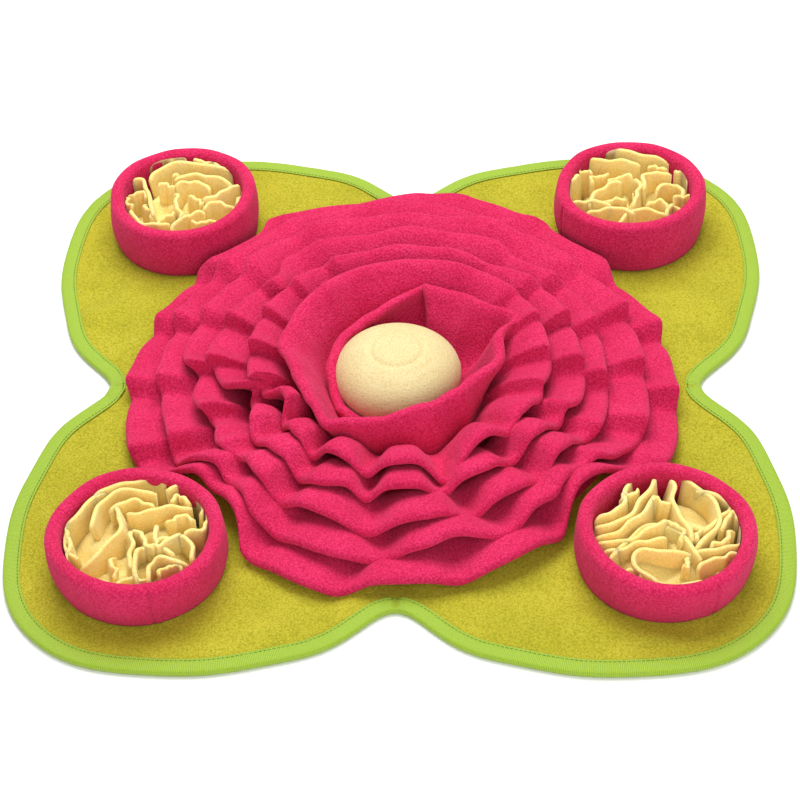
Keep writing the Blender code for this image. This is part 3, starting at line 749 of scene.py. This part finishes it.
for index, (name, cx, cy, radius, height, lean_x, lean_y, seam) in enumerate(CUPS):
    cup = cup_ring("fleece_cup_" + name, cx, cy, radius, height, lean_x, lean_y, seam, index)
    cup.data.materials.append(pink)
    thicken(cup, CUP_LAYER)
    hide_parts("cup_" + name)
    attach(cup, "root")

# ---- 6. the strips in the cups --------------------------------------------------
# Each cup is packed with short strips of pale yellow fleece about 3 mm thick, cut
# square and sewn to a crumpled disc, so that they stand on edge, curl and lean.
STRIP_THICK, STRIP_LOW = 3.4, 6.0
STRIP_DOME = 5.0                        # how far the middle of a bunch stands up
STRIP_FAN = 1.05                        # how much the bunch is spread toward the wall
STRIP_GAP = 0.6                         # between the bunch and the cup's wall
STRIP_LEVEL = 48.0                      # height at which a bunch leans as its cup's rim does
BED_GAP, BED_LOW, BED_THICK = 2.5, 5.2, 2.4
BED_RISE, BED_CRUMPLE = 16.0, 5.0
# plan from the cup's middle: start x, y, middle x, y, end x, y; top at start and end;
# lean of the top to the left of the way
STRIPS = {
    "rear_left": (
        (-34, 39, -18, 46, -2, 47, 44, 45, 2), (4, 45, 16, 43, 27, 37, 43, 42, 2),
        (-27, 24, -8, 38, 41, 30, 40, 42, 4), (-48, 26, -30, 16, -22, -20, 42, 37, -3),
        (-51, 4, -48, -4, -44, -10, 38, 36, 2), (-44, 3, -38, 5, -31, 1, 37, 37, 3),
        (-21, 10, -16, 11, -10, 8, 40, 39, 3), (-7, 18, 14, 22, 36, 10, 40, 41, 4),
        (-5, 8, 7, 12, 19, 6, 40, 39, 4), (20, -8, 36, 4, 47, 14, 38, 41, 4),
        (19, -14, 29, -10, 40, -16, 36, 37, 4), (-4, -38, 6, -24, 19, -20, 33, 36, 3),
        (-47, -12, -30, -31, -8, -32, 36, 34, 3), (-22, -44, 0, -46, 22, -42, 34, 34, 2),
        (26, -36, 36, -30, 44, -18, 35, 37, 3), (-9, 4, -6, -10, -2, -26, 38, 35, 2),
        (-34, -6, -30, -14, -24, -22, 36, 34, 2), (4, 2, 12, -6, 18, -8, 36, 36, 2),
        (44, -4, 48, 4, 50, 12, 37, 38, 0), (-14, 30, -10, 26, -4, 27, 38, 38, 3),
        (8, -30, 20, -30, 30, -26, 34, 34, 3), (-20, -30, -12, -24, -4, -18, 33, 34, 2),
    ),
    "rear_right": (
        (-20, 46, 4, 42, 33, 32, 47, 44, 4), (-34, 34, -14, 31, 8, 24, 45, 44, 5),
        (-51, -6, -47, 8, -40, 20, 40, 44, 2), (13, 0, 18, 18, 33, 16, 41, 43, 2),
        (20, 2, 40, 12, 45, -6, 41, 38, -3), (38, 26, 46, 22, 51, 10, 42, 44, 0),
        (2, -20, 10, -4, 8, 14, 38, 42, 3), (-31, -16, -22, 0, -6, 6, 38, 40, 3),
        (-49, -16, -34, -14, -17, -20, 38, 38, 3), (-34, -26, -16, -22, 2, -28, 36, 37, 3),
        (-10, -37, 10, -24, 29, -32, 35, 35, 4), (30, -27, 35, -14, 41, -26, 36, 36, 0),
        (38, -9, 45, -7, 51, -10, 39, 39, 3), (14, -16, 24, -14, 30, -20, 37, 37, 2),
        (-30, 10, -26, 16, -16, 18, 40, 41, 2), (-14, 8, -8, 14, 2, 12, 40, 41, 2),
        (-26, -42, 0, -48, 24, -42, 34, 34, 2), (-44, -26, -40, -32, -30, -38, 36, 34, 2),
        (16, 30, 24, 28, 30, 24, 41, 41, 2), (-4, -8, -14, -10, -22, -8, 38, 37, 2),
        (-42, 26, -36, 24, -30, 22, 41, 42, 2),
    ),
    "front_left": (
        (-32, 30, -12, 46, 16, 46, 40, 42, 3), (-28, 6, -22, 34, 10, 34, 38, 41, 3),
        (-14, 29, -8, 0, -32, -34, 41, 34, -5), (-24, 38, -48, 6, -38, -20, 40, 36, -3),
        (-47, 0, -44, -26, -46, -34, 38, 35, -2), (-8, 14, 14, 18, 38, 24, 38, 40, 3),
        (18, 40, 46, 52, 42, 20, 42, 40, 2), (12, 8, 16, -14, 34, -2, 38, 39, 2),
        (34, 0, 48, 6, 50, 22, 39, 41, 0), (18, -10, 34, -6, 42, -24, 38, 37, 2),
        (0, 4, 6, -6, 14, -16, 38, 36, 0), (4, -44, 2, -12, 30, -16, 33, 38, -3),
        (12, -42, 14, -22, 40, -26, 33, 37, -2), (-38, -36, -18, -46, 6, -48, 34, 34, 2),
        (-6, 2, -6, -18, -2, -34, 37, 33, 4), (20, -36, 26, -28, 36, -32, 34, 35, 0),
        (-18, -20, -16, -30, -12, -38, 34, 32, 3), (-20, 20, -4, 28, 8, 22, 38, 39, 3),
        (22, 30, 28, 36, 34, 28, 40, 40, 0), (-52, 14, -50, 4, -50, -8, 39, 37, 0),
        (24, 8, 30, 14, 40, 12, 38, 39, 2), (-14, -44, 2, -40, 10, -42, 31, 32, 2),
    ),
    "front_right": (
        (-50, 8, -30, 18, -20, 46, 36, 42, 4), (-49, 0, -20, 14, -3, 47, 36, 42, 4),
        (-50, -6, -22, 2, -4, 32, 35, 40, 4), (-10, 22, -5, 21, 1, 18, 39, 39, 5),
        (2, 48, 4, 20, 14, -10, 42, 34, 4), (12, 46, 34, 20, 18, -14, 41, 34, 3),
        (24, 42, 48, 24, 26, -2, 41, 36, -3), (20, -18, 48, -12, 54, 6, 35, 39, 0),
        (54, 8, 46, 16, 38, 2, 39, 37, 0), (-37, -28, -8, 2, 20, -26, 33, 34, 4),
        (-5, -46, -20, -22, 14, -26, 33, 35, 3), (22, -36, 36, -26, 50, -22, 34, 36, 3),
        (-48, -12, -20, -8, 2, 6, 34, 38, 3), (-44, -18, -20, -16, 0, -8, 34, 36, 3),
        (-30, 26, -24, 30, -16, 34, 39, 41, 3), (30, -14, 40, -8, 46, 0, 36, 38, 0),
        (0, 4, 6, 0, 8, -10, 37, 34, 3), (18, 4, 22, 0, 20, -8, 36, 35, 0),
        (-24, -42, 0, -48, 24, -44, 31, 31, 2), (8, -34, 14, -32, 16, -22, 33, 34, 2),
        (-34, -36, -26, -34, -18, -38, 31, 31, 2), (34, -34, 40, -36, 44, -30, 34, 34, 0),
    ),
}
STRIP_YELLOW = (0.880, 0.690, 0.260)
STRIP_SHADE = (0.820, 0.590, 0.170)
STRIP_PALE = (0.920, 0.790, 0.400)


def strip_bunch(name, cx, cy, lean_x, lean_y, reach, rows):
    """Strips as one mesh: each plan way is the parabola through its three points, kept
    inside the reach; the height runs from the disc to a top line that waves and is
    higher near the cup's middle, and the top leans and ripples square to the way. The
    section goes up one face, round the top edge and down the other face."""
    rows = np.array(rows, float)
    u = np.linspace(0, 1, 24)[None, :, None]
    p0, p1, p2 = (rows[:, None, None, 2 * k:2 * k + 2] for k in range(3))
    w0, w1, w2 = (2 * (u - 0.5) * (u - 1), 4 * u * (1 - u), 2 * u * (u - 0.5))
    way = w0[..., None] * p0 + w1[..., None] * p1 + w2[..., None] * p2
    run = (4 * u - 3)[..., None] * p0 + (4 - 8 * u)[..., None] * p1 + (4 * u - 1)[..., None] * p2
    run = run / np.linalg.norm(run, axis=-1, keepdims=True)
    left = np.stack([-run[..., 1], run[..., 0]], axis=-1)
    over_top = np.radians([-60, -25, 25, 60])
    v = np.concatenate([np.linspace(0, 1, 6), np.ones(4), np.linspace(1, 0, 6)])[None, None, :]
    flag = np.concatenate([-np.ones(6), np.sin(over_top), np.ones(6)])[None, None, :]
    crown = np.concatenate([np.zeros(6), np.cos(over_top), np.zeros(6)])[None, None, :]
    k = np.arange(len(rows))[:, None, None]
    ripple = np.sin(9 * u + 1.7 * k) * 1.0 + np.sin(17 * u + 2.9 * k) * 0.6
    dome = STRIP_DOME * (1 - (np.linalg.norm(way, axis=-1) / 52.0) ** 2)
    top = rows[:, 6:7, None] * (1 - u) + rows[:, 7:8, None] * u + 0.9 * np.sin(5.3 * u + 2.3 * k)
    square = 1 - 0.06 * (np.abs(2 * u - 1) ** 12)
    lean = rows[:, 8:9, None] * v ** 1.3 + ripple * (0.4 + 0.9 * v)
    half = STRIP_THICK / 2
    z = STRIP_LOW + ((top + dome) * square - half - STRIP_LOW) * v + half * crown
    plan = (way + left * (lean + half * flag)[..., None]) * STRIP_FAN
    far = np.linalg.norm(plan, axis=-1, keepdims=True)
    plan = plan * np.minimum(1.0, reach / np.maximum(far, 1e-6))
    rise = z / STRIP_LEVEL
    x = cx + lean_x * rise + plan[..., 0]
    y = cy + lean_y * rise + plan[..., 1]
    points = np.stack([x, y, z], axis=-1)
    return cloth_object(name, points, rod_faces(*points.shape[:3], flip=True))


def crumpled_disc(name, cx, cy, lean_x, lean_y, radius):
    """Disc of cloth raised in the middle: the rise falls off with the sixth power of
    the way out, and five waves round the disc turn as they go out."""
    a = np.linspace(0, 2 * math.pi, 72, endpoint=False)[None, :]
    d = np.linspace(0.02, 1, 14)[:, None]
    wave = (BED_RISE * (1 - d ** 6) + BED_CRUMPLE * (1 - d ** 4) * np.sin(7 * d)
            * np.sin(5 * a + 9 * d + cx))
    return sheet_mesh(name, np.stack([
        cx + lean_x * 0.2 + d * radius * np.cos(a),
        cy + lean_y * 0.2 + d * radius * np.sin(a),
        BED_LOW + wave], axis=-1), around=True, cap=True)


yellow = fleece("yellow_fleece", STRIP_SHADE, STRIP_YELLOW, STRIP_PALE, pill=760.0, relief=0.0003,
                glow=0.4, through=0.5)
for name, cx, cy, radius, height, lean_x, lean_y, seam in CUPS:
    inside = radius - CUP_WALL
    bunch = strip_bunch("strips_" + name, cx, cy, lean_x, lean_y, inside - STRIP_GAP,
                        STRIPS[name])
    bunch.data.materials.append(yellow)
    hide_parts("filler_" + name)
    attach(bunch, "root")
    bed = crumpled_disc("bed_" + name, cx, cy, lean_x, lean_y, inside - BED_GAP)
    bed.data.materials.append(yellow)
    thicken(bed, BED_THICK)
    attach(bed, "root")

# ---- 7. floor, light and camera -------------------------------------------------
# A plain white studio floor, a broad soft light above and behind the mat, a weaker one
# in front, and the photograph's view: a long lens, 44 degrees down from the front.
floor_mesh = bpy.data.meshes.new("floor")
floor_mesh.from_pydata([(-4, -4, 0), (4, -4, 0), (4, 4, 0), (-4, 4, 0)], [], [(0, 1, 2, 3)])
floor = bpy.data.objects.new("floor", floor_mesh)
bpy.context.scene.collection.objects.link(floor)
paper = bpy.data.materials.new("white_paper")
paper.use_nodes = True
paper.node_tree.nodes["Principled BSDF"].inputs["Base Color"].default_value = (0.93, 0.93, 0.93, 1)
paper.node_tree.nodes["Principled BSDF"].inputs["Roughness"].default_value = 0.9
floor.data.materials.append(paper)
floor.location = (0, 0, -0.0003)

world = bpy.data.worlds.new("studio")
world.use_nodes = True
world.node_tree.nodes["Background"].inputs["Color"].default_value = (1.0, 1.0, 1.0, 1)
world.node_tree.nodes["Background"].inputs["Strength"].default_value = 0.42
bpy.context.scene.world = world
bpy.context.scene.view_settings.view_transform = "Standard"
for name, place, size, watts in (("key", (-0.1, 0.7, 1.7), 1.3, 42.0),
                                 ("fill", (0.4, -1.6, 1.0), 1.6, 19.0)):
    lamp = bpy.data.lights.new(name, "AREA")
    lamp.size = size
    lamp.energy = watts
    lamp_object = bpy.data.objects.new(name, lamp)
    bpy.context.scene.collection.objects.link(lamp_object)
    lamp_object.location = place
    back = np.array(place) / np.linalg.norm(place)
    right = np.cross([0, 0, 1.0], back)
    right /= np.linalg.norm(right)
    up = np.cross(back, right)
    lamp_object.rotation_euler = Matrix(np.stack([right, up, back], axis=1).tolist()).to_euler()

camera = bpy.data.cameras.new("view")
camera.lens, camera.sensor_width = 100.29, 36.0
camera_object = bpy.data.objects.new("view", camera)
bpy.context.scene.collection.objects.link(camera_object)
camera_object.location = (0.07014, -1.31691, 1.24473)
camera_object.rotation_euler = Matrix((
    (0.99918, 0.00231, 0.04053), (0.02774, 0.69008, -0.72320),
    (-0.02964, 0.72373, 0.68945))).to_euler()
bpy.context.scene.camera = camera_object
